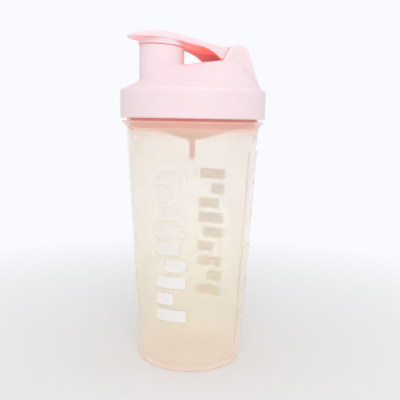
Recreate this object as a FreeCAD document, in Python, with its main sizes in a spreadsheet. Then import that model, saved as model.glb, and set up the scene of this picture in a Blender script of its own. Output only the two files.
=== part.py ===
import FreeCAD, Part
import math
import os
import re
import Sketcher

# A screw-lid shaker bottle, in millimetres, +Z up.  The origin is the centre of the foot on the cup's
# axis; the drinking spout is towards -X, the flip cap's hinge towards +X and its axis along Y.

# Driving dimensions: alias, value, what it is.
SIZES = [
    ("cup_height", 178.2, "foot to mouth"),
    ("foot_radius", 35.3, "outer radius at the foot"),
    ("waist_level", 18.0, "where the taper starts"),
    ("waist_radius", 35.9, "outer radius where the taper starts"),
    ("shoulder_radius", 43.6, "outer radius just under the flange"),
    ("cup_wall", 1.7, "wall of the cup"),
    ("foot_rise", 2.4, "lift of the floor above the foot ring"),
    ("foot_width", 5.0, "radial width of the foot ring"),
    ("foot_fillet", 4.0, "rounding of the foot's outer edge"),
    ("neck_height", 16.8, "flange top to mouth"),
    ("neck_radius", 43.4, "outer radius of the threaded neck"),
    ("flange_radius", 46.8, "outer radius of the flange"),
    ("flange_edge", 0.8, "thickness of the flange at its rim"),
    ("flange_slope", 3.4, "height of the flange's sloping underside"),
    ("rib_height", 10.5, "stacking rib, below the flange"),
    ("rib_depth", 1.0, "stacking rib, out from the wall"),
    ("rib_width", 1.2, "stacking rib"),
    ("rib_half_angle", 3.7, "half the angle between the two ribs of a pair"),
    ("rib_pairs", 3.0, "pairs of stacking ribs round the cup"),
    ("rib_turn", 76.0, "where the first pair stands round the cup"),
    ("scale_angle", 24.0, "angle that a scale panel spans"),
    ("scale_relief", 0.35, "how far a scale panel stands out"),
    ("scale_bottom", 14.0, "foot to the panel's lower end"),
    ("scale_top_gap", 18.0, "flange top to the panel's upper end"),
    ("thread_lead", 6.0, "rise in one turn"),
    ("thread_turns", 1.2, "length of both threads"),
    ("thread_width", 2.2, "thread at its root"),
    ("thread_crest", 1.0, "thread at its crest"),
    ("cup_thread_depth", 1.3, "out from the neck"),
    ("thread_play", 0.4, "thread crest to the other piece's wall"),
    ("thread_start", 4.6, "flange top to the cup thread's lower end"),
    ("thread_offset", 2.5, "lid thread below the cup thread"),
    ("skirt_gap", 1.6, "flange top to the skirt's lower edge"),
    ("lid_radius", 47.8, "outer radius of the skirt"),
    ("skirt_wall", 2.3, "wall of the skirt"),
    ("deck_wall", 2.0, "wall of the deck, dome and hinge trough"),
    ("lid_edge", 1.8, "rounding of the skirt's upper edge"),
    ("small_edge", 0.4, "rounding of rims and lower edges"),
    ("gasket_height", 1.5, "thickness of the sealing ring"),
    ("gasket_play", 0.3, "sealing ring to the collar inside it"),
    ("gasket_overlap", 1.4, "ring beyond the neck's outer wall"),
    ("collar_gap", 0.5, "collar to the inside of the neck"),
    ("collar_wall", 1.8, "wall of the collar"),
    ("collar_drop", 2.5, "collar below the skirt's lower edge"),
    ("dome_margin", 2.2, "skirt's outside to the foot of the dome"),
    ("dome_height", 17.5, "deck to the middle of the dome's top"),
    ("dome_top_radius", 25.0, "flat top of the dome"),
    ("dome_shift", 6.8, "top of the dome towards the hinge"),
    ("dome_tilt", 8.0, "slant of the dome's top, up towards the hinge"),
    ("dome_fillet", 12.0, "rounding of the dome's upper edge"),
    ("spout_offset", 22.0, "axis to the spout's centre"),
    ("spout_radius", 14.3, "outside of the spout"),
    ("spout_bore", 11.9, "bore of the spout"),
    ("spout_height", 26.4, "deck to the shoulder under the flip cap"),
    ("lip_radius", 13.1, "outside of the lip inside the flip cap"),
    ("lip_height", 3.4, "lip above the spout's shoulder"),
    ("rim_tilt", 3.2, "slant of the spout's shoulder and lip"),
    ("hinge_offset", 22.5, "axis to the flip cap's hinge axis"),
    ("hinge_height", 20.7, "deck to the hinge axis"),
    ("ear_height", 28.3, "deck to the top of the ears"),
    ("ear_wall", 3.2, "thickness of an ear"),
    ("ear_foot", 2.4, "axis to the ear's front edge at deck level"),
    ("ear_lean", 16.6, "how far the ear's front edge leans back"),
    ("ear_heel", 40.8, "axis to the ear's rear edge at deck level"),
    ("ear_rake", 11.1, "how far the ear's rear edge leans in"),
    ("ear_nose", 1.8, "rounding of the ear's front corner"),
    ("ear_crown", 7.0, "rounding of the ear's rear corner"),
    ("ear_edge", 1.0, "rounding of the ear's outline"),
    ("arm_width", 31.0, "width of the flip cap"),
    ("arm_gap", 0.3, "flip cap to each ear"),
    ("knuckle_radius", 6.8, "rounded end of the arm"),
    ("knuckle_gap", 0.5, "rounded end to the trough in the dome"),
    ("pivot_radius", 2.4, "stub shafts of the flip cap"),
    ("pivot_length", 2.0, "stub shafts, out from the arm"),
    ("pivot_play", 0.05, "radial play of the stub shafts"),
    ("pivot_end_gap", 0.3, "end play of the stub shafts, added to the arm's gap"),
    ("cap_wall", 1.8, "wall of the flip cap"),
    ("cap_roof", 2.1, "top wall of the arm, measured upright"),
    ("tab_reach", 22.5, "spout's centre to the tip of the tab"),
    ("tab_edge", 1.1, "height of the rim at the tab's tip"),
    ("tab_level", 4.9, "spout's shoulder to the rim at the tab's tip"),
    ("crown_radius", 64.0, "side-view radius of the crown"),
    ("crown_run", 10.8, "spout's centre to the end of the crown, towards the hinge"),
    ("crown_end_level", 5.5, "spout's shoulder to the end of the crown"),
    ("bend_run", 33.5, "spout's centre to the bend in the arm"),
    ("bend_level", 1.3, "spout's shoulder to the bend in the arm"),
    ("rim_level", 3.7, "spout's shoulder to the rim beside the spout"),
    ("arm_foot_gap", 9.2, "hinge axis to the arm's lower front corner"),
    ("arm_foot_level", 1.6, "hinge axis above the arm's lower front corner"),
    ("arm_curve", 34.0, "side-view radius of the arm's lower edge"),
    ("cap_gap", 0.3, "lip's highest point to the underside of the cap's top"),
    ("sleeve_gap", 0.8, "lip to the sleeve round it"),
    ("sleeve_wall", 1.1, "wall of the sleeve"),
    ("shoulder_gap", 0.2, "sleeve above the spout's shoulder"),
    ("plug_depth", 3.0, "plug below the top of the lip"),
    ("plug_gap", 0.3, "plug to the bore at its root"),
    ("plug_taper", 0.7, "how much the plug narrows to its lower edge"),
    ("plug_wall", 1.4, "wall of the plug"),
    ("strainer_gap", 0.3, "strainer's upstand to the collar"),
    ("strainer_play", 0.1, "strainer's rim to the collar's lower edge"),
    ("strainer_wall", 1.3, "wall of the strainer"),
    ("strainer_upstand", 3.5, "strainer inside the collar"),
    ("strainer_rim", 3.2, "height of the strainer's rim"),
    ("strainer_clear", 1.3, "strainer's rim to the inside of the neck"),
    ("strainer_ledge", 5.8, "strainer's upstand to the cone"),
    ("strainer_drop", 8.8, "height of the cone"),
    ("stem_radius", 1.95, "stem under the cone"),
    ("stem_length", 13.1, "cone's tip to the end of the stem"),
]

# Levels and radii that follow from the driving dimensions.
DERIVED = {
    "flange_top": "(cup_height - neck_height)",
    "inner_shoulder": "(shoulder_radius - cup_wall)",
    "neck_bore": "(neck_radius - cup_wall)",
    "taper": "((shoulder_radius - waist_radius) / (flange_top - flange_edge - flange_slope - waist_level))",
    "skirt_bottom": "(flange_top + skirt_gap)",
    "deck_under": "(cup_height + gasket_height)",
    "deck_top": "(deck_under + deck_wall)",
    "skirt_bore": "(lid_radius - skirt_wall)",
    "collar_radius": "(neck_bore - collar_gap)",
    "collar_bore": "(collar_radius - collar_wall)",
    "collar_bottom": "(skirt_bottom - collar_drop)",
    "dome_top": "(deck_top + dome_height)",
    "ear_middle": "(ear_inner + ear_wall / 2)",
    "dome_radius": "(lid_radius - dome_margin)",
    "shoulder_level": "(deck_top + spout_height)",
    "lip_top": "(shoulder_level + lip_height)",
    "hinge_level": "(deck_top + hinge_height)",
    "ear_top": "(deck_top + ear_height)",
    "ear_inner": "(arm_width / 2 + arm_gap)",
    "ear_outer": "(ear_inner + ear_wall)",
    "trough_radius": "(knuckle_radius + knuckle_gap)",
    "cap_under": "(lip_top + lip_radius * tan(rim_tilt) + cap_gap)",
    "sleeve_bore": "(lip_radius + sleeve_gap)",
    "sleeve_radius": "(sleeve_bore + sleeve_wall)",
    "strainer_radius": "(neck_bore - strainer_clear)",
    "strainer_spigot": "(collar_bore - strainer_gap)",
    "strainer_under": "(collar_bottom - strainer_rim)",
    "strainer_flat": "(strainer_spigot - strainer_wall - strainer_ledge)",
}

SLOT_RINGS = [(0.24, 0.44, 12), (0.50, 0.70, 24), (0.76, 0.93, 36)]  # inner, outer share of the cone; count
SLOT_FILL = 0.5         # share of the pitch that a slot takes
SCALE_SIDES = (136, 316)  # where the two scale panels stand round the cup
OVERLAP = 0.6           # how far joined solids run into each other

document = FreeCAD.newDocument("shaker_bottle")
sheet = document.addObject("Spreadsheet::Sheet", "Sizes")
for row, (alias, value, note) in enumerate(SIZES, 1):
    sheet.set(f"A{row}", note)
    sheet.set(f"B{row}", str(value))
    sheet.setAlias(f"B{row}", alias)
document.recompute()
ALIASES = {alias for alias, value, note in SIZES}


def sized(expression):
    """An expression with each derived name worked out and each size read from the sheet."""
    def swap(match):
        word = match.group(0)
        if word in DERIVED:
            return sized(DERIVED[word])
        return f"Sizes.{word}" if word in ALIASES else word
    return re.sub(r"[a-z][a-z_]+", swap, str(expression))


def number(expression):
    """The value of an expression in millimetres or degrees."""
    return float(sheet.evalExpression(sized(expression)))


def bind(thing, **expressions):
    """Bind properties to the sheet; a double underscore stands for a dot in the property's path."""
    for path, expression in expressions.items():
        thing.setExpression(path.replace("__", "."), sized(expression))
    return thing


def place(thing, x="0", y="0", z="0"):
    """Bind the place of an object."""
    return bind(thing, Placement__Base__x=x, Placement__Base__y=y, Placement__Base__z=z)


def tilt(thing, angle):
    """Turn an object about the Y direction through its own place."""
    thing.Placement.Rotation = FreeCAD.Rotation(FreeCAD.Vector(0, 1, 0), 1)
    return bind(thing, Placement__Rotation__Angle=angle)


def new_body(name):
    return document.addObject("PartDesign::Body", name)


def plane(body, role):
    return next(o for o in body.Origin.OriginFeatures if o.Role == role)


def pin_point(sketch, edge, end, axis, expression):
    """Bind one coordinate of a sketch point to the sheet."""
    value = number(expression)
    if abs(value) < 1e-9:
        sketch.addConstraint(Sketcher.Constraint("PointOnObject", edge, end, -2 if axis == "X" else -1))
        return
    index = sketch.addConstraint(Sketcher.Constraint(f"Distance{axis}", -1, 1, edge, end, value))
    sketch.setExpression(f"Constraints[{index}]", sized(expression))


def outline(body, role, points, arcs=None, level=None):
    """A closed outline through points given as expressions; arcs maps a side's number to its radius.

    A positive radius bulges to the left of the side's direction, a negative one to its right.
    """
    arcs = arcs or {}
    sketch = body.newObject("Sketcher::SketchObject", f"{body.Name}_outline")
    sketch.AttachmentSupport = (plane(body, role), [""])
    sketch.MapMode = "FlatFace"
    if level:
        bind(sketch, AttachmentOffset__Base__z=level)
    corners = [FreeCAD.Vector(number(x), number(y), 0) for x, y in points]
    for i, start in enumerate(corners):
        stop = corners[(i + 1) % len(corners)]
        if i not in arcs:
            sketch.addGeometry(Part.LineSegment(start, stop))
            continue
        radius = number(arcs[i])
        half = (stop - start) * 0.5
        sagitta = abs(radius) - math.sqrt(radius ** 2 - half.Length ** 2)
        left = FreeCAD.Vector(-half.y, half.x, 0).normalize()
        middle = start + half + left * math.copysign(sagitta, radius)
        sketch.addGeometry(Part.Arc(start, middle, stop))
    for i in range(len(corners)):
        before = (i - 1) % len(corners)
        before_end = 1 if number(arcs.get(before, 0)) > 0 else 2
        after_end = 2 if number(arcs.get(i, 0)) > 0 else 1
        sketch.addConstraint(Sketcher.Constraint("Coincident", before, before_end, i, after_end))
        pin_point(sketch, i, after_end, "X", points[i][0])
        pin_point(sketch, i, after_end, "Y", points[i][1])
    for side, radius in arcs.items():
        index = sketch.addConstraint(Sketcher.Constraint("Radius", side, abs(number(radius))))
        sketch.setExpression(f"Constraints[{index}]", sized(f"abs({radius})"))
    return sketch


def revolve(body, sketch, angle="360", cut=False):
    feature = body.newObject("PartDesign::Groove" if cut else "PartDesign::Revolution", f"{body.Name}_turn")
    feature.Profile = sketch
    feature.ReferenceAxis = (sketch, ["V_Axis"])
    feature.Midplane = True
    return bind(feature, Angle=angle)


def extrude(body, sketch, length, cut=False, both_ways=False):
    feature = body.newObject("PartDesign::Pocket" if cut else "PartDesign::Pad", f"{body.Name}_run")
    feature.Profile = sketch
    feature.Midplane = both_ways
    return bind(feature, Length=length)


def helix(body, sketch, turns):
    feature = body.newObject("PartDesign::AdditiveHelix", f"{body.Name}_thread")
    feature.Profile = sketch
    feature.ReferenceAxis = (sketch, ["V_Axis"])
    feature.Mode = "pitch-turns-angle"
    bind(feature, Pitch="thread_lead", Turns=turns)
    return feature


def round_off(body, base, chosen, radius):
    """Round the chosen edges of a feature."""
    names = [f"Edge{i}" for i, edge in enumerate(base.Shape.Edges, 1) if chosen(edge)]
    feature = body.newObject("PartDesign::Fillet", f"{body.Name}_round")
    feature.Base = (base, names)
    return bind(feature, Radius=radius)


def ring_edge(radius, level):
    """A test for the full circle of a given radius about Z at a given level."""
    def test(edge):
        circle = edge.Curve
        return (isinstance(circle, Part.Circle) and abs(circle.Radius - number(radius)) < 0.01
                and abs(circle.Center.z - number(level)) < 0.01)
    return test


def around(body, feature, count):
    """Repeat a feature evenly round Z."""
    pattern = body.newObject("PartDesign::PolarPattern", f"{body.Name}_ring")
    pattern.Originals = [feature]
    pattern.Axis = (plane(body, "Z_Axis"), [""])
    pattern.Angle = 360
    bind(pattern, Occurrences=count)
    body.Tip = pattern
    return pattern


def solid(kind, name, **expressions):
    """A Part primitive with its sizes bound to the sheet."""
    return bind(document.addObject(f"Part::{kind}", name), **expressions)


def upright(name, radius, bottom, top, x="0"):
    """A vertical cylinder."""
    cylinder = solid("Cylinder", name, Radius=radius, Height=f"{top} - {bottom}")
    return place(cylinder, x=x, z=bottom)


def crosswise(name, radius, half_length, x, z):
    """A cylinder along Y, centred on the XZ plane."""
    cylinder = solid("Cylinder", name, Radius=radius, Height=f"2 * ({half_length})")
    cylinder.Placement.Rotation = FreeCAD.Rotation(FreeCAD.Vector(1, 0, 0), -90)
    return place(cylinder, x=x, y=f"-({half_length})", z=z)


def chain(kind, name, base, tools):
    """Join or cut one tool after another; the last step carries the name."""
    for i, tool in enumerate(tools, 1):
        step = document.addObject(kind, name if i == len(tools) else f"{name}_step_{i}")
        step.Base = base
        step.Tool = tool
        step.Refine = False
        base = step
    return base


def join(name, *pieces):
    return chain("Part::Fuse", name, pieces[0], pieces[1:])


def minus(name, base, *tools):
    return chain("Part::Cut", name, base, tools)


def shared(name, *pieces):
    common = document.addObject("Part::MultiCommon", name)
    common.Shapes = list(pieces)
    common.Refine = True
    return common


def thread_outline(body, wall, depth, level):
    """The thread's section: its root runs into the wall; a negative depth points inwards."""
    sign = "-1" if depth.startswith("-") else "1"
    root = f"{wall} - {sign} * {OVERLAP}"
    return outline(body, "XZ_Plane", [
        (root, f"{level} - thread_width / 2"),
        (f"{wall} + {depth}", f"{level} - thread_crest / 2"),
        (f"{wall} + {depth}", f"{level} + thread_crest / 2"),
        (root, f"{level} + thread_width / 2"),
    ])


def outer_wall(level):
    """Outside of the cup at a level in the tapered part."""
    return f"(waist_radius + taper * ({level} - waist_level))"


def make_cup():
    body = new_body("cup_body")
    flange_foot = "(flange_top - flange_edge - flange_slope)"
    floor_top = "(foot_rise + cup_wall)"
    profile = outline(body, "XZ_Plane", [
        ("0", "foot_rise"),
        ("foot_radius - foot_width - foot_rise", "foot_rise"),
        ("foot_radius - foot_width", "0"),
        ("foot_radius", "0"),
        ("waist_radius", "waist_level"),
        ("shoulder_radius", flange_foot),
        ("flange_radius", "flange_top - flange_edge"),
        ("flange_radius", "flange_top"),
        ("neck_radius", "flange_top"),
        ("neck_radius", "cup_height"),
        ("neck_bore", "cup_height"),
        ("neck_bore", "flange_top"),
        ("inner_shoulder", flange_foot),
        ("waist_radius - cup_wall", "waist_level"),
        ("foot_radius - cup_wall", floor_top),
        ("0", floor_top),
    ])
    shell = revolve(body, profile)
    document.recompute()
    foot = round_off(body, shell, ring_edge("foot_radius", "0"), "min(foot_fillet; foot_width * 0.95)")
    document.recompute()
    floor = round_off(body, foot, ring_edge("foot_radius - cup_wall", floor_top), "foot_fillet")
    document.recompute()
    rims = [ring_edge("neck_radius", "cup_height"), ring_edge("neck_bore", "cup_height"),
            ring_edge("flange_radius", "flange_top")]
    round_off(body, floor, lambda edge: any(rim(edge) for rim in rims), "small_edge")
    helix(body, thread_outline(body, "neck_radius", "cup_thread_depth", "(flange_top + thread_start)"),
          "thread_turns")
    document.recompute()
    panels = [scale_panel(angle) for angle in SCALE_SIDES]
    ribs = [stacking_rib(pair, side) for pair in range(int(number("rib_pairs"))) for side in (-1, 1)]
    return join("cup", body, *panels, *ribs)


def scale_panel(angle):
    """A shallow raised panel up the tapered wall, centred at an angle round the cup."""
    body = new_body(f"scale_panel_{angle}")
    bottom = "scale_bottom"
    top = "(flange_top - scale_top_gap)"
    waist = "waist_level"
    low_wall = f"(foot_radius + (waist_radius - foot_radius) * {bottom} / {waist})"
    profile = outline(body, "XZ_Plane", [
        (f"{low_wall} - {OVERLAP}", bottom),
        (f"{low_wall} + scale_relief", bottom),
        ("waist_radius + scale_relief", waist),
        (f"{outer_wall(top)} + scale_relief", top),
        (f"{outer_wall(top)} - {OVERLAP}", top),
        (f"waist_radius - {OVERLAP}", waist),
    ])
    revolve(body, profile, "scale_angle")
    body.Placement.Rotation = FreeCAD.Rotation(FreeCAD.Vector(0, 0, 1), angle)
    return body


def stacking_rib(pair, side):
    """One short upright rib under the flange."""
    body = new_body(f"rib_{pair}_{'left' if side < 0 else 'right'}")
    top = "(flange_top - flange_edge - flange_slope / 2)"
    bottom = f"({top} - rib_height)"
    profile = outline(body, "XZ_Plane", [
        (f"{outer_wall(bottom)} - {OVERLAP}", bottom),
        (f"{outer_wall(bottom)} + rib_depth", f"{bottom} + rib_depth"),
        ("shoulder_radius + rib_depth", top),
        (f"shoulder_radius - {OVERLAP}", top),
    ])
    extrude(body, profile, "rib_width", both_ways=True)
    turn = number("rib_turn") + 360 / number("rib_pairs") * pair + side * number("rib_half_angle")
    body.Placement.Rotation = FreeCAD.Rotation(FreeCAD.Vector(0, 0, 1), turn)
    return body


def make_gasket():
    body = new_body("lid_gasket")
    inner = "(collar_radius + gasket_play)"
    outer = "(neck_radius + gasket_overlap)"
    profile = outline(body, "XZ_Plane", [
        (inner, "cup_height"), (outer, "cup_height"), (outer, "deck_under"), (inner, "deck_under"),
    ])
    revolve(body, profile)
    return body


def dome(name, low_radius, low_level, high_radius, high_level, rounding):
    """The dome as a cone between a level circle and a slanted one, with its upper edge rounded."""
    low = place(solid("Circle", f"{name}_low", Radius=low_radius), z=low_level)
    high = place(solid("Circle", f"{name}_high", Radius=high_radius), x="dome_shift", z=high_level)
    tilt(high, "-dome_tilt")
    loft = document.addObject("Part::Loft", name)
    loft.Sections = [low, high]
    loft.Solid = True
    loft.Ruled = True
    document.recompute()
    middle = (number(low_level) + number(high_level)) / 2
    edge = next(i for i, e in enumerate(loft.Shape.Edges, 1) if e.BoundBox.ZMin > middle)
    rounded = document.addObject("Part::Fillet", f"{name}_round")
    rounded.Base = loft
    rounded.Edges = [(edge, number(rounding), number(rounding))]
    return rounded


def tilted_slab(name, level):
    """A big slab above a slanted plane through the spout's centre line at a level."""
    side = "(4 * spout_radius)"
    slab = solid("Box", name, Length=side, Width=side, Height=side)
    corner = document.addObject("Part::Compound", f"{name}_placed")
    corner.Links = [place(slab, x=f"-{side} / 2", y=f"-{side} / 2")]
    place(corner, x="-spout_offset", z=level)
    return tilt(corner, "rim_tilt")


def hinge_ear(name, side):
    """One hinge ear: an upright plate, leaning back in front and in behind, with a soft outline."""
    body = new_body(name)
    profile = outline(body, "XZ_Plane", [
        ("ear_foot", "deck_top"),
        ("ear_foot + ear_lean", "ear_top"),
        ("ear_heel - ear_rake", "ear_top"),
        ("ear_heel", "deck_top"),
    ])
    plate = extrude(body, profile, "ear_wall", both_ways=True)
    document.recompute()
    top = number("ear_top") - 0.01
    front = number("ear_foot + ear_lean") + 0.01
    nose = round_off(body, plate, lambda e: e.BoundBox.ZMin > top and e.BoundBox.XMax < front, "ear_nose")
    document.recompute()
    crown = round_off(body, nose, lambda e: e.BoundBox.ZMin > top and e.BoundBox.XLength < 0.01
                      and e.BoundBox.XMin > number("ear_heel - ear_rake") - 0.01, "ear_crown")
    document.recompute()
    foot = number("deck_top") + 0.01
    round_off(body, crown, lambda e: e.BoundBox.ZMax > foot and e.BoundBox.YLength < 0.01, "ear_edge")
    return place(body, y=f"{side} * ear_middle")


def make_lid():
    body = new_body("skirt_body")
    profile = outline(body, "XZ_Plane", [
        ("skirt_bore", "skirt_bottom"),
        ("lid_radius", "skirt_bottom"),
        ("lid_radius", "deck_top"),
        ("0", "deck_top"),
        ("0", "collar_bottom"),
        ("collar_radius", "collar_bottom"),
        ("collar_radius", "deck_under"),
        ("skirt_bore", "deck_under"),
    ])
    ring = revolve(body, profile)
    document.recompute()
    edged = round_off(body, ring, ring_edge("lid_radius", "deck_top"), "lid_edge")
    document.recompute()
    rims = [ring_edge("lid_radius", "skirt_bottom"), ring_edge("collar_radius", "collar_bottom")]
    round_off(body, edged, lambda edge: any(rim(edge) for rim in rims), "small_edge")
    helix(body, thread_outline(body, "skirt_bore", "-(skirt_bore - neck_radius - thread_play)",
                               "(flange_top + thread_start - thread_offset)"), "thread_turns")
    document.recompute()
    root = "(deck_top - deck_wall / 2)"
    outside = dome("dome_outside", "dome_radius", "deck_top", "dome_top_radius", "dome_top", "dome_fillet")
    spout = minus("spout_outside", upright("spout_tube", "spout_radius", root, "lip_top", "-spout_offset"),
                  tilted_slab("shoulder_slab", "shoulder_level"))
    lip = minus("lip_outside", upright("lip_tube", "lip_radius", root, "(lip_top + spout_radius)",
                                       "-spout_offset"),
                tilted_slab("lip_slab", "lip_top"))
    ears = [hinge_ear("ear_left", -1), hinge_ear("ear_right", 1)]
    outer = join("lid_outside", body, outside, spout, lip, *ears)
    cavity = dome("dome_inside", "collar_bore", "deck_top", "dome_top_radius - deck_wall * 0.7",
                  "dome_top - deck_wall", "dome_fillet - deck_wall")
    throat = upright("deck_throat", "collar_bore", "(collar_bottom - deck_wall)", "deck_top")
    trough_shell = crosswise("trough_shell", "trough_radius + deck_wall", "ear_outer",
                             "hinge_offset", "hinge_level")
    hollow = minus("lid_hollow", join("lid_cavity", cavity, throat), trough_shell)
    bore = upright("spout_hole", "spout_bore", "deck_under", "(lip_top + spout_radius)", "-spout_offset")
    trough = crosswise("trough", "trough_radius", "ear_inner", "hinge_offset", "hinge_level")
    sockets = crosswise("pivot_sockets", "pivot_radius + pivot_play",
                        "(arm_width / 2 + pivot_length + pivot_end_gap)", "hinge_offset", "hinge_level")
    return minus("screw_lid", outer, hollow, bore, trough, sockets)


def plan_outline(name, inset):
    """The flip cap seen from above, drawn in by an inset: an oval tab and a straight strap."""
    half = f"(arm_width / 2 - {inset})"
    curve = solid("Ellipse", f"{name}_curve", MajorRadius=f"tab_reach - {inset}", MinorRadius=half)
    place(curve, x="-spout_offset", z="deck_top")
    tab = document.addObject("Part::Extrusion", f"{name}_tab")
    tab.Base = curve
    tab.DirMode = "Custom"
    tab.Dir = FreeCAD.Vector(0, 0, 1)
    tab.Solid = True
    bind(tab, LengthFwd="2 * ear_height")
    strap = solid("Box", f"{name}_strap", Length="spout_offset + hinge_offset + 2 * knuckle_radius",
                  Width=f"2 * {half}", Height="2 * ear_height")
    place(strap, x="-spout_offset", y=f"-{half}", z="deck_top")
    return join(name, tab, strap)


def make_flip_cap():
    body = new_body("cap_profile")
    tip = "-(spout_offset + tab_reach)"
    tab_rim = "(shoulder_level + tab_level)"
    crown_end = "(crown_run - spout_offset)"
    crown_level = "(shoulder_level + crown_end_level)"
    bend = "(bend_run - spout_offset)"
    bend_height = "(shoulder_level + bend_level)"
    arm_top = "(hinge_level + knuckle_radius)"
    profile = outline(body, "XZ_Plane", [
        (tip, tab_rim),
        (tip, f"{tab_rim} + tab_edge"),
        (crown_end, crown_level),
        (bend, bend_height),
        ("hinge_offset", arm_top),
        ("hinge_offset", "hinge_level"),
        ("hinge_offset - arm_foot_gap", "hinge_level - arm_foot_level"),
        ("0", "shoulder_level"),
        ("-spout_offset", "shoulder_level + rim_level"),
    ], arcs={1: "crown_radius", 6: "-arm_curve"})
    extrude(body, profile, "arm_width", both_ways=True)
    knuckle = crosswise("knuckle", "knuckle_radius", "arm_width / 2", "hinge_offset", "hinge_level")
    blank = shared("cap_blank", join("cap_block", body, knuckle), plan_outline("cap_plan", "0"))
    inside = new_body("cap_inside")
    inside_profile = outline(inside, "XZ_Plane", [
        (tip, "deck_top"),
        (tip, f"{tab_rim} + tab_edge * 0.3"),
        (f"{tip} + tab_edge * 6", "cap_under"),
        (crown_end, f"{crown_level} - cap_roof"),
        (bend, f"{bend_height} - cap_roof"),
        ("hinge_offset - knuckle_radius * 0.2", f"{arm_top} - cap_roof"),
        ("hinge_offset + knuckle_radius * 0.3", "hinge_level - knuckle_radius * 0.4"),
        ("hinge_offset - knuckle_radius * 0.3", "deck_top"),
    ])
    extrude(inside, inside_profile, "arm_width", both_ways=True)
    hollow = shared("cap_hollow", inside, plan_outline("cap_hollow_plan", "cap_wall"))
    root = "(cap_under + cap_wall / 3)"
    skirt_foot = "(shoulder_level - spout_radius)"
    sleeve = upright("sleeve", "sleeve_radius", skirt_foot, root, "-spout_offset")
    sleeve_bore = upright("sleeve_hole", "sleeve_bore", skirt_foot, "cap_under", "-spout_offset")
    above = tilted_slab("sleeve_slab", "(shoulder_level + shoulder_gap)")
    tube = minus("sleeve_tube", shared("sleeve_cut", sleeve, above), sleeve_bore)
    plug_foot = "(lip_top - plug_depth)"
    plug = solid("Cone", "plug", Radius1="spout_bore - plug_gap - plug_taper",
                 Radius2="spout_bore - plug_gap", Height=f"{root} - {plug_foot}")
    place(plug, x="-spout_offset", z=plug_foot)
    plug_bore = upright("plug_bore", "spout_bore - plug_gap - plug_taper - plug_wall",
                        plug_foot, "cap_under", "-spout_offset")
    pivots = crosswise("pivots", "pivot_radius", "(arm_width / 2 + pivot_length)",
                       "hinge_offset", "hinge_level")
    between = solid("Box", "pivot_gap", Length="2 * knuckle_radius", Width="arm_width - 2 * cap_wall",
                    Height="2 * knuckle_radius")
    place(between, x="hinge_offset - knuckle_radius", y="-(arm_width / 2 - cap_wall)",
          z="hinge_level - knuckle_radius")
    shell = minus("cap_shell", blank, hollow)
    return join("flip_cap", shell, tube, minus("plug_ring", plug, plug_bore),
                minus("pivot_stubs", pivots, between))


def slot_ring(body, inner, outer, count):
    """A ring of slots through the cone."""
    inner_radius = f"(strainer_flat * {inner})"
    outer_radius = f"(strainer_flat * {outer})"
    half = f"({inner_radius} * sin(180 / {count}) * {SLOT_FILL})"
    top = "(collar_bottom + strainer_upstand)"
    profile = outline(body, "XY_Plane", [
        (inner_radius, f"-{half}"), (outer_radius, f"-{half}"),
        (outer_radius, half), (inner_radius, half),
    ], level=top)
    slot = extrude(body, profile, "strainer_upstand + strainer_rim + 2 * strainer_drop", cut=True)
    document.recompute()
    return around(body, slot, count)


def make_strainer():
    body = new_body("strainer")
    cone_tip = "(strainer_under - strainer_drop)"
    stem_end = f"({cone_tip} - stem_length)"
    inner_wall = "(strainer_spigot - strainer_wall)"
    profile = outline(body, "XZ_Plane", [
        ("0", f"{cone_tip} + strainer_wall * 1.3"),
        ("0", stem_end),
        ("stem_radius * 0.6", stem_end),
        ("stem_radius", f"{stem_end} + stem_radius"),
        ("stem_radius", cone_tip),
        ("strainer_flat", "strainer_under"),
        ("strainer_radius", "strainer_under"),
        ("strainer_radius", "collar_bottom - strainer_play"),
        ("strainer_spigot", "collar_bottom - strainer_play"),
        ("strainer_spigot", "collar_bottom + strainer_upstand"),
        (inner_wall, "collar_bottom + strainer_upstand"),
        (inner_wall, "strainer_under + strainer_wall"),
        ("strainer_flat", "strainer_under + strainer_wall"),
    ])
    revolve(body, profile)
    document.recompute()
    for inner, outer, count in SLOT_RINGS:
        slot_ring(body, inner, outer, count)
    return body


PIECES = {
    "cup": make_cup(),
    "lid_gasket": make_gasket(),
    "screw_lid": make_lid(),
    "flip_cap": make_flip_cap(),
    "strainer": make_strainer(),
}
for label, piece in PIECES.items():
    piece.Label = label
document.recompute()

failed = [o.Label for o in document.Objects if {"Invalid", "Error"} & set(o.State)]
if failed:
    raise SystemExit(f"failed objects: {failed}")
os.makedirs("parts", exist_ok=True)
for label, piece in PIECES.items():
    shape = piece.Shape
    if shape.isNull() or not shape.isValid() or not shape.Solids:
        raise SystemExit(f"{label}: not a valid solid")
    print(label, "solids", len(shape.Solids), "volume", round(shape.Volume),
          "box", [round(v, 2) for v in (shape.BoundBox.XMin, shape.BoundBox.XMax, shape.BoundBox.YMin,
                                        shape.BoundBox.YMax, shape.BoundBox.ZMin, shape.BoundBox.ZMax)])
    shape.exportStep(f"parts/{label}.step")
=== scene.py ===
import math

import bmesh
import bpy
from mathutils import Matrix, Vector


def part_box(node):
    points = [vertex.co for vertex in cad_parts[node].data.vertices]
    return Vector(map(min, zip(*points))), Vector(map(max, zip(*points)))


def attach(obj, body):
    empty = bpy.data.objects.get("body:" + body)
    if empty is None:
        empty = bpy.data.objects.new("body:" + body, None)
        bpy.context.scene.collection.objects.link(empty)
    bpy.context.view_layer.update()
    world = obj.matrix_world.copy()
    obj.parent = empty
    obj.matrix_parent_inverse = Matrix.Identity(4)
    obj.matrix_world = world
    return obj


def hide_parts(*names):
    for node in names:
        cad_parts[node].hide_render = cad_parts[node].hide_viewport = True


# A screw-lid shaker bottle in pale pink and frosted plastic, in metres.
# +Z up, the spout towards -X, the flip cap's hinge towards +X.

MM = 0.001

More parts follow.
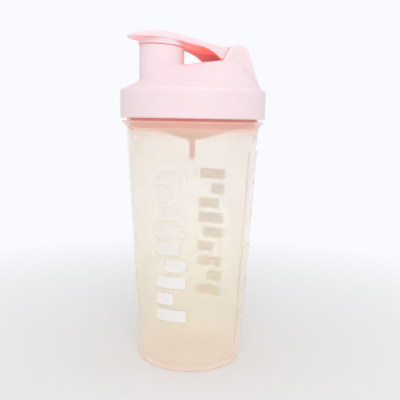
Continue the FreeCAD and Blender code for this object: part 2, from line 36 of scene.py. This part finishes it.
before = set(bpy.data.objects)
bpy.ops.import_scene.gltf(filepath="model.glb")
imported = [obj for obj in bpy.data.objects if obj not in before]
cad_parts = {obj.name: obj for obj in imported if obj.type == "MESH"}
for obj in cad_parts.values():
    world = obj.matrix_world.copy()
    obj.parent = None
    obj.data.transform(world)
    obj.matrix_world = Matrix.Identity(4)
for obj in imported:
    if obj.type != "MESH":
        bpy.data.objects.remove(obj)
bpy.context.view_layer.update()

lid_low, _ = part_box("screw_lid")

# Where the bottle is seen from.
EYE_TURN = -22.0          # degrees round the bottle, from -Y
EYE_DISTANCE = 0.370
EYE_PITCH = 8.4           # degrees down
EYE_ROLL = 1.0
EYE_YAW = 0.9             # degrees, aimed a little past the bottle's axis
LENS = 49.4
EYE_LEVEL = lid_low.z + 2.5 * MM

# Colours, as light that the surface gives back.
PALE_PINK = (0.88, 0.728, 0.757)
# painted light and shade: the coral that hollows and undersides are tinted with, and the colour of their
# glow
PAINTED_HOLLOW_CORAL = (0.93, 0.19, 0.15)
STRAINER_PINK = (0.80, 0.36, 0.27)
# The tints deepen towards the foot; the coral band from 157 to 178 mm, under the lid's skirt, is painted
# shade.
FROST_TINTS_AND_SHADE = [           # level in millimetres, colour
    (0, (1.0, 0.76, 0.66)), (5, (1.0, 0.83, 0.71)), (30, (1.0, 0.85, 0.68)), (70, (1.0, 0.88, 0.72)),
    (120, (1.0, 0.905, 0.81)), (150, (1.0, 0.885, 0.78)), (157, (1.0, 0.70, 0.60)), (178, (1.0, 0.70, 0.60)),
]
# painted shade along the edges of the scale panels
PANEL_EDGE_SHADE_COLOUR = (0.93, 0.55, 0.38)
MILKY = (0.88, 0.86, 0.83)
INK = (0.99, 0.97, 0.94)
# painted shade on the back of the ink, as seen from inside the cup
INK_BACK_SHADE = (0.88, 0.68, 0.50)
BACKDROP = (0.94, 0.955, 0.985)
ROOM_LIGHT = (0.93, 0.93, 0.94)
FLOOR = (0.80, 0.795, 0.785)

# How much of what lies behind is covered, and how strongly a painted glow stands in for light coming
# through.
FROST_COVER = 0.28
EDGE_SHADE_COVER = 0.35
UNDERSIDE_GLOW = 0.55
FOOT_GLOW = 0.12
WALL_GLOW = 0.03

# Where things stand round the cup, in degrees from +X, and their lower edges.
FRONT_PRINT_TURN = 228.5
REAR_PRINT_TURN = 46
RIGHT_PANEL_TURN = 316
LEFT_PANEL_TURN = 136
CLEAR_TURN = 63           # the wall has no panel or rib here
FRONT_PRINT_LOW = 35 * MM
REAR_PRINT_LOW = 31 * MM

# The grids on which the moulded pieces get their soft edges.
LID_GRID = 0.75 * MM
CAP_GRID = 0.40 * MM
STRAINER_GRID = 0.50 * MM

# The room.
KEY_PLACE = (-0.22, -0.68, 0.78)
KEY_SIZE = 0.6
KEY_POWER = 3.3
ROOM_STRENGTH = 0.78
FLOOR_RADIUS = 6.0
FLOOR_FADE = 0.38         # where the floor has become the backdrop


# ---- node helpers ----

def shader(name):
    """A new material, its nodes and its Principled shader."""
    material = bpy.data.materials.new(name)
    material.use_nodes = True
    nodes = material.node_tree.nodes
    return material, nodes, nodes["Principled BSDF"]


def wire(material, source, output, target, entry):
    material.node_tree.links.new(source.outputs[output], target.inputs[entry])


def noise(material, scale, detail=2.0):
    """A noise that stays with the piece."""
    nodes = material.node_tree.nodes
    place = nodes.new("ShaderNodeTexCoord")
    grain = nodes.new("ShaderNodeTexNoise")
    grain.inputs["Scale"].default_value = scale
    grain.inputs["Detail"].default_value = detail
    wire(material, place, "Object", grain, "Vector")
    return grain


def spread(material, source, output, low, high, to_low, to_high):
    """A reading stretched from one range to another, and kept inside it."""
    span = material.node_tree.nodes.new("ShaderNodeMapRange")
    span.inputs["From Min"].default_value = low
    span.inputs["From Max"].default_value = high
    span.inputs["To Min"].default_value = to_low
    span.inputs["To Max"].default_value = to_high
    wire(material, source, output, span, "Value")
    return span


def blend_colours(material, first, second, source, output):
    """Two colours, or a colour and another blend, mixed by a reading."""
    mix = material.node_tree.nodes.new("ShaderNodeMix")
    mix.data_type = "RGBA"
    wire(material, source, output, mix, 0)
    for slot, colour in ((6, first), (7, second)):
        if isinstance(colour, bpy.types.Node):
            material.node_tree.links.new(colour.outputs[2], mix.inputs[slot])
        else:
            mix.inputs[slot].default_value = (*colour, 1)
    return mix


def give_colour(material, mix, skin):
    material.node_tree.links.new(mix.outputs[2], skin.inputs["Base Color"])


def add_grain(material, skin, scale, depth, rough_low, rough_high):
    """The fine texture of a mould, in the surface and in its gloss."""
    fine = noise(material, scale, 3.0)
    bump = material.node_tree.nodes.new("ShaderNodeBump")
    bump.inputs["Distance"].default_value = depth
    bump.inputs["Strength"].default_value = 0.35
    wire(material, fine, "Fac", bump, "Height")
    wire(material, bump, "Normal", skin, "Normal")
    broad = noise(material, scale / 30)
    gloss = spread(material, broad, "Fac", 0.3, 0.7, rough_low, rough_high)
    wire(material, gloss, "Result", skin, "Roughness")


# ---- finishes ----

def satin_plastic(name, open_colour, hollow_light_colour, reach, glow):
    """Moulded satin plastic.  Undersides and hollows get painted light and shade: a deeper, warmer coral
    and, on undersides, a glow, for the light that comes through to them.
    """
    material, nodes, skin = shader(name)
    shelter = nodes.new("ShaderNodeAmbientOcclusion")
    shelter.samples = 16
    shelter.inputs["Distance"].default_value = reach
    closed = spread(material, shelter, "AO", 0.05, 0.32, 0.7, 0.0)
    place = nodes.new("ShaderNodeTexCoord")
    facing = nodes.new("ShaderNodeSeparateXYZ")
    wire(material, place, "Normal", facing, "Vector")
    under = spread(material, facing, "Z", -0.80, -0.35, 1.0, 0.0)
    sheltered = spread(material, shelter, "AO", 0.55, 0.95, 1.0, 0.0)
    both = nodes.new("ShaderNodeMath")
    both.operation = "MULTIPLY"
    wire(material, under, "Result", both, 0)
    wire(material, sheltered, "Result", both, 1)
    # Painted light and shade: hollows and sheltered undersides take the deep coral.
    painted_hollow_mask = nodes.new("ShaderNodeMath")
    painted_hollow_mask.operation = "MAXIMUM"
    wire(material, closed, "Result", painted_hollow_mask, 0)
    wire(material, both, "Value", painted_hollow_mask, 1)
    mottle = noise(material, 60.0)
    paler = tuple(min(1.0, c * 1.02) for c in open_colour)
    face = blend_colours(material, open_colour, paler, mottle, "Fac")
    give_colour(material, blend_colours(material, face, hollow_light_colour, painted_hollow_mask, "Value"), skin)
    skin.inputs["Subsurface Weight"].default_value = 0.5
    skin.inputs["Subsurface Radius"].default_value = (1.0, 0.45, 0.4)
    skin.inputs["Subsurface Scale"].default_value = 3.0 * MM
    # A painted glow on sheltered undersides stands in for light coming through the plastic.
    if glow:
        skin.inputs["Emission Color"].default_value = (*hollow_light_colour, 1)
        lit = spread(material, both, "Value", 0.0, 1.0, 0.0, glow)
        wire(material, lit, "Result", skin, "Emission Strength")
    add_grain(material, skin, 2600.0, 0.05 * MM, 0.34, 0.44)
    return material


def frosted_plastic(name, tints_and_shade, cover, foot_glow):
    """Frosted translucent plastic, tinted by level; the tints can carry painted shade.  A painted glow
    stands in for the light that gathers in its foot.
    """
    material, nodes, skin = shader(name)
    place = nodes.new("ShaderNodeTexCoord")
    level = nodes.new("ShaderNodeSeparateXYZ")
    wire(material, place, "Object", level, "Vector")
    top = tints_and_shade[-1][0] * MM
    height = spread(material, level, "Z", 0.0, top, 0.0, 1.0)
    ramp = nodes.new("ShaderNodeValToRGB")
    while len(ramp.color_ramp.elements) < len(tints_and_shade):
        ramp.color_ramp.elements.new(1.0)
    for stop, (at, colour) in zip(ramp.color_ramp.elements, tints_and_shade):
        stop.position = at * MM / top
        stop.color = (*colour, 1)
    wire(material, height, "Result", ramp, "Fac")
    wire(material, ramp, "Color", skin, "Base Color")
    cloud = noise(material, 25.0)
    layers = [
        spread(material, cloud, "Fac", 0.3, 0.7, cover - 0.01, cover + 0.01),
        spread(material, level, "Z", 0.0, 6 * MM, 0.18, 0.0),
        spread(material, level, "Z", 153 * MM, 157 * MM, 0.0, 0.22),
    ]
    total = layers[0]
    for layer in layers[1:]:
        thicker = nodes.new("ShaderNodeMath")
        thicker.operation = "ADD"
        wire(material, total, 0, thicker, 0)
        wire(material, layer, "Result", thicker, 1)
        total = thicker
    wire(material, total, 0, skin, "Alpha")
    skin.inputs["Subsurface Weight"].default_value = 0.8
    skin.inputs["Subsurface Radius"].default_value = (1.0, 0.8, 0.6)
    skin.inputs["Subsurface Scale"].default_value = 5.0 * MM
    # A painted glow in the tint's colour, strongest at the foot and faint up the wall.
    glow = spread(material, level, "Z", 0.0, 25 * MM, foot_glow, WALL_GLOW)
    wire(material, ramp, "Color", skin, "Emission Color")
    wire(material, glow, "Result", skin, "Emission Strength")
    add_grain(material, skin, 3200.0, 0.015 * MM, 0.33, 0.37)
    return material


def printed_ink(name, low_cover, high_cover):
    """White ink whose cover changes up the print.  Its back, against the plastic, is painted a warmer beige
    as shade.
    """
    material, nodes, skin = shader(name)
    place = nodes.new("ShaderNodeTexCoord")
    level = nodes.new("ShaderNodeSeparateXYZ")
    wire(material, place, "Object", level, "Vector")
    # The front print thinning towards the top stands in for glare on it; the rear print's denser top, for
    # shade there.
    cover = spread(material, level, "Z", 0.06, 0.125, low_cover, high_cover)
    wire(material, cover, "Result", skin, "Alpha")
    speck = noise(material, 900.0)
    worn = tuple(c * 0.97 for c in INK)
    face = blend_colours(material, INK, worn, speck, "Fac")
    outward = nodes.new("ShaderNodeVectorMath")
    outward.operation = "DOT_PRODUCT"
    wire(material, place, "Object", outward, 0)
    wire(material, place, "Normal", outward, 1)
    # Inward faces take the painted shade of the ink's back.
    back = spread(material, outward, "Value", -0.01, 0.01, 1.0, 0.0)
    give_colour(material, blend_colours(material, face, INK_BACK_SHADE, back, "Result"), skin)
    add_grain(material, skin, 4000.0, 0.02 * MM, 0.45, 0.55)
    return material


def soft_rubber():
    material, _, skin = shader("milky_silicone")
    cloud = noise(material, 200.0)
    darker = tuple(c * 0.95 for c in MILKY)
    give_colour(material, blend_colours(material, MILKY, darker, cloud, "Fac"), skin)
    skin.inputs["Subsurface Weight"].default_value = 0.2
    skin.inputs["Subsurface Scale"].default_value = 1.0 * MM
    add_grain(material, skin, 2000.0, 0.03 * MM, 0.5, 0.6)
    return material


def dress(node, material):
    """Give a carried-over piece one material."""
    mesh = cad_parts[node].data
    mesh.materials.clear()
    mesh.materials.append(material)


# ---- making pieces ----

def finish_piece(name, mesh, material, body):
    mesh.materials.clear()
    mesh.materials.append(material)
    piece = bpy.data.objects.new(name, mesh)
    bpy.context.scene.collection.objects.link(piece)
    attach(piece, body)
    return piece


def evaluated(piece):
    bpy.context.view_layer.update()
    return bpy.data.meshes.new_from_object(piece.evaluated_get(bpy.context.evaluated_depsgraph_get()))


def moulded(node, body, material, grid, rounds):
    """A node's shape as it leaves the mould: the same form with every edge softened."""
    shape = bmesh.new()
    shape.from_mesh(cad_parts[node].data)
    bmesh.ops.remove_doubles(shape, verts=shape.verts, dist=0.002 * MM)
    rough_mesh = bpy.data.meshes.new(f"{node}_blank")
    shape.to_mesh(rough_mesh)
    shape.free()
    blank = bpy.data.objects.new(f"{node}_blank", rough_mesh)
    bpy.context.scene.collection.objects.link(blank)
    remesh = blank.modifiers.new("grid", "REMESH")
    remesh.mode = "VOXEL"
    remesh.voxel_size = grid
    remesh.use_smooth_shade = True
    relax = blank.modifiers.new("soften", "SMOOTH")
    relax.factor = 0.5
    relax.iterations = rounds
    mesh = evaluated(blank)
    bpy.data.objects.remove(blank)
    piece = finish_piece(f"{node}_moulded", mesh, material, body)
    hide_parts(node)
    return piece


def wall_radius(turn, level):
    """The cup's outer wall at a turn round it and a level."""
    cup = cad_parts["cup"]
    out = Vector((math.cos(turn), math.sin(turn), 0))
    start = out * 0.08 + Vector((0, 0, level))
    hit, place, _, _ = cup.ray_cast(start, -out)
    return Vector((place.x, place.y)).length if hit else 0.04


def wrap(shape, turn, level, lift, bend=None):
    """Lay a flat shape on the cup's wall: across is round the cup, up is up."""
    for vert in shape.verts:
        across, up, out = vert.co
        height = level + up
        middle = bend or wall_radius(turn, height)
        here = turn + across / middle
        radius = wall_radius(here, height) + lift + out
        vert.co = (radius * math.cos(here), radius * math.sin(here), height)


def add_bar(shape, left, right, low, high, rounding):
    """One flat bar with rounded corners."""
    made = bmesh.ops.create_grid(shape, x_segments=1, y_segments=1, size=0.5)["verts"]
    wide = Matrix.Diagonal((right - left, high - low, 1, 1))
    bmesh.ops.transform(shape, matrix=Matrix.Translation(((left + right) / 2, (low + high) / 2, 0)) @ wide,
                        verts=made)
    bmesh.ops.bevel(shape, geom=made, offset=rounding, offset_type="OFFSET", affect="VERTICES",
                    segments=5, profile=0.5, material=-1)


def cut_strips(shape, left, right, step):
    """Cut the flat shape into upright strips, so that it can bend round the cup."""
    across = left + step
    while across < right:
        bmesh.ops.bisect_plane(shape, geom=shape.verts[:] + shape.edges[:] + shape.faces[:], dist=1e-7,
                               plane_co=(across, 0, 0), plane_no=(1, 0, 0))
        across += step


def cut_levels(shape, low, high, step):
    """Cut the flat shape across, so that it can follow the cup's taper."""
    level = low + step
    while level < high:
        bmesh.ops.bisect_plane(shape, geom=shape.verts[:] + shape.edges[:] + shape.faces[:], dist=1e-7,
                               plane_co=(0, level, 0), plane_no=(0, 1, 0))
        level += step


def thicken(shape, depth):
    made = bmesh.ops.extrude_face_region(shape, geom=shape.faces[:])
    raised = [item for item in made["geom"] if isinstance(item, bmesh.types.BMVert)]
    bmesh.ops.translate(shape, vec=(0, 0, depth), verts=raised)


def to_mesh(name, shape):
    bmesh.ops.recalc_face_normals(shape, faces=shape.faces)
    mesh = bpy.data.meshes.new(name)
    shape.to_mesh(mesh)
    shape.free()
    return mesh


# A plain pattern of bars of different lengths: left end, right end, low and high edge, in millimetres.
BARS = [
    (-10.0, 10.0, 0.0, 7.6), (-10.0, 2.0, 11.0, 18.6), (-10.0, 10.0, 22.0, 29.6),
    (-3.0, 10.0, 33.0, 40.6), (-10.0, 6.0, 44.0, 51.6), (-10.0, 10.0, 55.0, 62.6),
    (-6.0, 10.0, 66.0, 73.6), (-10.0, 1.0, 77.0, 84.6), (-10.0, 10.0, 88.0, 95.6),
]


def make_print(name, turn, low_edge, ink):
    shape = bmesh.new()
    for left, right, low, high in BARS:
        add_bar(shape, left * MM, right * MM, low * MM, high * MM, 1.4 * MM)
    cut_strips(shape, -10.0 * MM, 10.0 * MM, 1.0 * MM)
    thicken(shape, 0.05 * MM)
    wrap(shape, math.radians(turn), low_edge, 0.01 * MM)
    return finish_piece(name, to_mesh(name, shape), ink, "cup")


def number_shape(shape, words, size, across, up):
    curve = bpy.data.curves.new("number", "FONT")
    curve.body = words
    curve.size = size
    curve.align_x = "CENTER"
    curve.align_y = "CENTER"
    curve.resolution_u = 3
    holder = bpy.data.objects.new("number", curve)
    bpy.context.scene.collection.objects.link(holder)
    flat = evaluated(holder)
    bpy.data.objects.remove(holder)
    before = set(shape.verts)
    shape.from_mesh(flat)
    bpy.data.meshes.remove(flat)
    new = [vert for vert in shape.verts if vert not in before]
    bmesh.ops.translate(shape, vec=(across, up, 0), verts=new)


CUP_WALL = 1.7 * MM
CUP_FLOOR = 4.1 * MM      # top of the cup's floor
SCALE_STEPS = 24          # a tick every 25 millilitres


def fill_levels():
    """How high each further 25 millilitres comes up the cup."""
    slice_height = 0.25 * MM
    level, held, levels = CUP_FLOOR, 0.0, []
    while len(levels) < SCALE_STEPS:
        inner = wall_radius(math.radians(CLEAR_TURN), level) - CUP_WALL
        held += math.pi * inner ** 2 * slice_height
        level += slice_height
        if held >= 25e-6 * (len(levels) + 1):
            levels.append(level)
    return levels


def make_scale(name, turn, plastic):
    """A volume scale: a long tick and a number every 100 millilitres, and short ticks between."""
    shape = bmesh.new()
    for step, up in enumerate(fill_levels(), start=1):
        volume = 25 * step
        if volume % 100 == 0:
            add_bar(shape, -7.5 * MM, 1.0 * MM, up - 0.35 * MM, up + 0.35 * MM, 0.3 * MM)
            number_shape(shape, str(volume), 4.6 * MM, 5.0 * MM, up)
        elif volume > 100:
            reach = -2.0 * MM if volume % 50 == 0 else -4.2 * MM
            add_bar(shape, -7.5 * MM, reach, up - 0.25 * MM, up + 0.25 * MM, 0.2 * MM)
    cut_strips(shape, -7.5 * MM, 8.0 * MM, 1.5 * MM)
    thicken(shape, 0.2 * MM)
    wrap(shape, math.radians(turn), 0, -0.05 * MM)
    return finish_piece(name, to_mesh(name, shape), plastic, "cup")


PANEL_LOW = 14 * MM
PANEL_HIGH = 143 * MM
PANEL_HALF_ANGLE = 12     # degrees


def make_panel_edges(name, turn, plastic):
    """The bead down each side of a scale panel, in a deeper peach: painted shade along the panel's edge."""
    bend = 40 * MM
    shape = bmesh.new()
    for side in (-1, 1):
        across = side * bend * math.radians(PANEL_HALF_ANGLE - 0.6)
        add_bar(shape, across - 0.35 * MM, across + 0.35 * MM, 0.5 * MM, PANEL_HIGH - PANEL_LOW, 0.3 * MM)
    cut_levels(shape, 0, PANEL_HIGH - PANEL_LOW, 8 * MM)
    thicken(shape, 0.25 * MM)
    wrap(shape, math.radians(turn), PANEL_LOW, -0.05 * MM, bend)
    return finish_piece(name, to_mesh(name, shape), plastic, "cup")


# ---- the room ----

def place_eye():
    turn = math.radians(EYE_TURN)
    lens = bpy.data.cameras.new("eye")
    lens.lens = LENS
    lens.sensor_width = 36
    eye = bpy.data.objects.new("eye", lens)
    away = Vector((math.sin(turn), -math.cos(turn), 0)) * EYE_DISTANCE
    turned = (Matrix.Rotation(math.radians(EYE_TURN - EYE_YAW), 4, "Z")
              @ Matrix.Rotation(math.radians(90 - EYE_PITCH), 4, "X")
              @ Matrix.Rotation(math.radians(EYE_ROLL), 4, "Z"))
    eye.matrix_world = Matrix.Translation(away + Vector((0, 0, EYE_LEVEL))) @ turned
    bpy.context.scene.collection.objects.link(eye)
    bpy.context.scene.camera = eye


def soft_light(name, place, size, power, colour=(1, 1, 1), aim=(0, 0, 0.1)):
    lamp = bpy.data.lights.new(name, "AREA")
    lamp.shape = "DISK"
    lamp.size = size
    lamp.energy = power
    lamp.color = colour
    holder = bpy.data.objects.new(name, lamp)
    holder.location = place
    holder.rotation_euler = (Vector(aim) - Vector(place)).to_track_quat("-Z", "Y").to_euler()
    bpy.context.scene.collection.objects.link(holder)


def make_floor():
    """A pale floor that fades into the backdrop with distance."""
    shape = bmesh.new()
    bmesh.ops.create_circle(shape, cap_ends=True, segments=96, radius=FLOOR_RADIUS)
    mesh = to_mesh("floor", shape)
    floor = bpy.data.objects.new("floor", mesh)
    bpy.context.scene.collection.objects.link(floor)
    paper, nodes, skin = shader("pale_floor")
    skin.inputs["Base Color"].default_value = (*FLOOR, 1)
    skin.inputs["Roughness"].default_value = 0.9
    place = nodes.new("ShaderNodeTexCoord")
    reach = nodes.new("ShaderNodeVectorMath")
    reach.operation = "LENGTH"
    wire(paper, place, "Object", reach, 0)
    far = spread(paper, reach, "Value", 0.0, FLOOR_FADE, 0.0, 1.0)
    glow = nodes.new("ShaderNodeEmission")
    glow.inputs["Color"].default_value = (*BACKDROP, 1)
    mix = nodes.new("ShaderNodeMixShader")
    wire(paper, far, "Result", mix, 0)
    wire(paper, skin, "BSDF", mix, 1)
    wire(paper, glow, "Emission", mix, 2)
    wire(paper, mix, "Shader", nodes["Material Output"], "Surface")
    mesh.materials.append(paper)


def light_room():
    world = bpy.data.worlds.new("studio")
    bpy.context.scene.world = world
    world.use_nodes = True
    nodes = world.node_tree.nodes
    links = world.node_tree.links
    room = nodes["Background"]
    room.inputs["Color"].default_value = (*ROOM_LIGHT, 1)
    room.inputs["Strength"].default_value = ROOM_STRENGTH
    seen = nodes.new("ShaderNodeBackground")
    seen.inputs["Color"].default_value = (*BACKDROP, 1)
    ray = nodes.new("ShaderNodeLightPath")
    mix = nodes.new("ShaderNodeMixShader")
    links.new(ray.outputs["Is Camera Ray"], mix.inputs[0])
    links.new(room.outputs[0], mix.inputs[1])
    links.new(seen.outputs[0], mix.inputs[2])
    links.new(mix.outputs[0], nodes["World Output"].inputs["Surface"])
    soft_light("key", KEY_PLACE, KEY_SIZE, KEY_POWER)
    bpy.context.scene.view_settings.view_transform = "Standard"


pink = satin_plastic("pink_polypropylene", PALE_PINK, PAINTED_HOLLOW_CORAL, 12 * MM, UNDERSIDE_GLOW)
sieve_pink = satin_plastic("strainer_polypropylene", STRAINER_PINK, PAINTED_HOLLOW_CORAL, 6 * MM, 0.0)
frost = frosted_plastic("frosted_polypropylene", FROST_TINTS_AND_SHADE, FROST_COVER, FOOT_GLOW)
# the strips of painted shade down the scale panels' edges
panel_edge_shade = frosted_plastic("painted_panel_edge_shade", [(0, PANEL_EDGE_SHADE_COLOUR), (178, PANEL_EDGE_SHADE_COLOUR)], EDGE_SHADE_COVER, 0.0)

dress("lid_gasket", soft_rubber())
dress("cup", frost)
moulded("screw_lid", "lid", pink, LID_GRID, 3)
moulded("flip_cap", "flip_cap", pink, CAP_GRID, 3)
moulded("strainer", "strainer", sieve_pink, STRAINER_GRID, 2)
# Print cover by height: painted glare on the front print, painted shade on the rear print.
make_print("front_print", FRONT_PRINT_TURN, FRONT_PRINT_LOW, printed_ink("front_ink", 0.85, 0.4))
make_print("rear_print", REAR_PRINT_TURN, REAR_PRINT_LOW, printed_ink("rear_ink", 0.55, 0.8))
make_scale("right_scale", RIGHT_PANEL_TURN, frost)
make_scale("left_scale", LEFT_PANEL_TURN, frost)
make_panel_edges("right_panel_edge_shade", RIGHT_PANEL_TURN, panel_edge_shade)
make_panel_edges("left_panel_edge_shade", LEFT_PANEL_TURN, panel_edge_shade)

make_floor()
light_room()
place_eye()
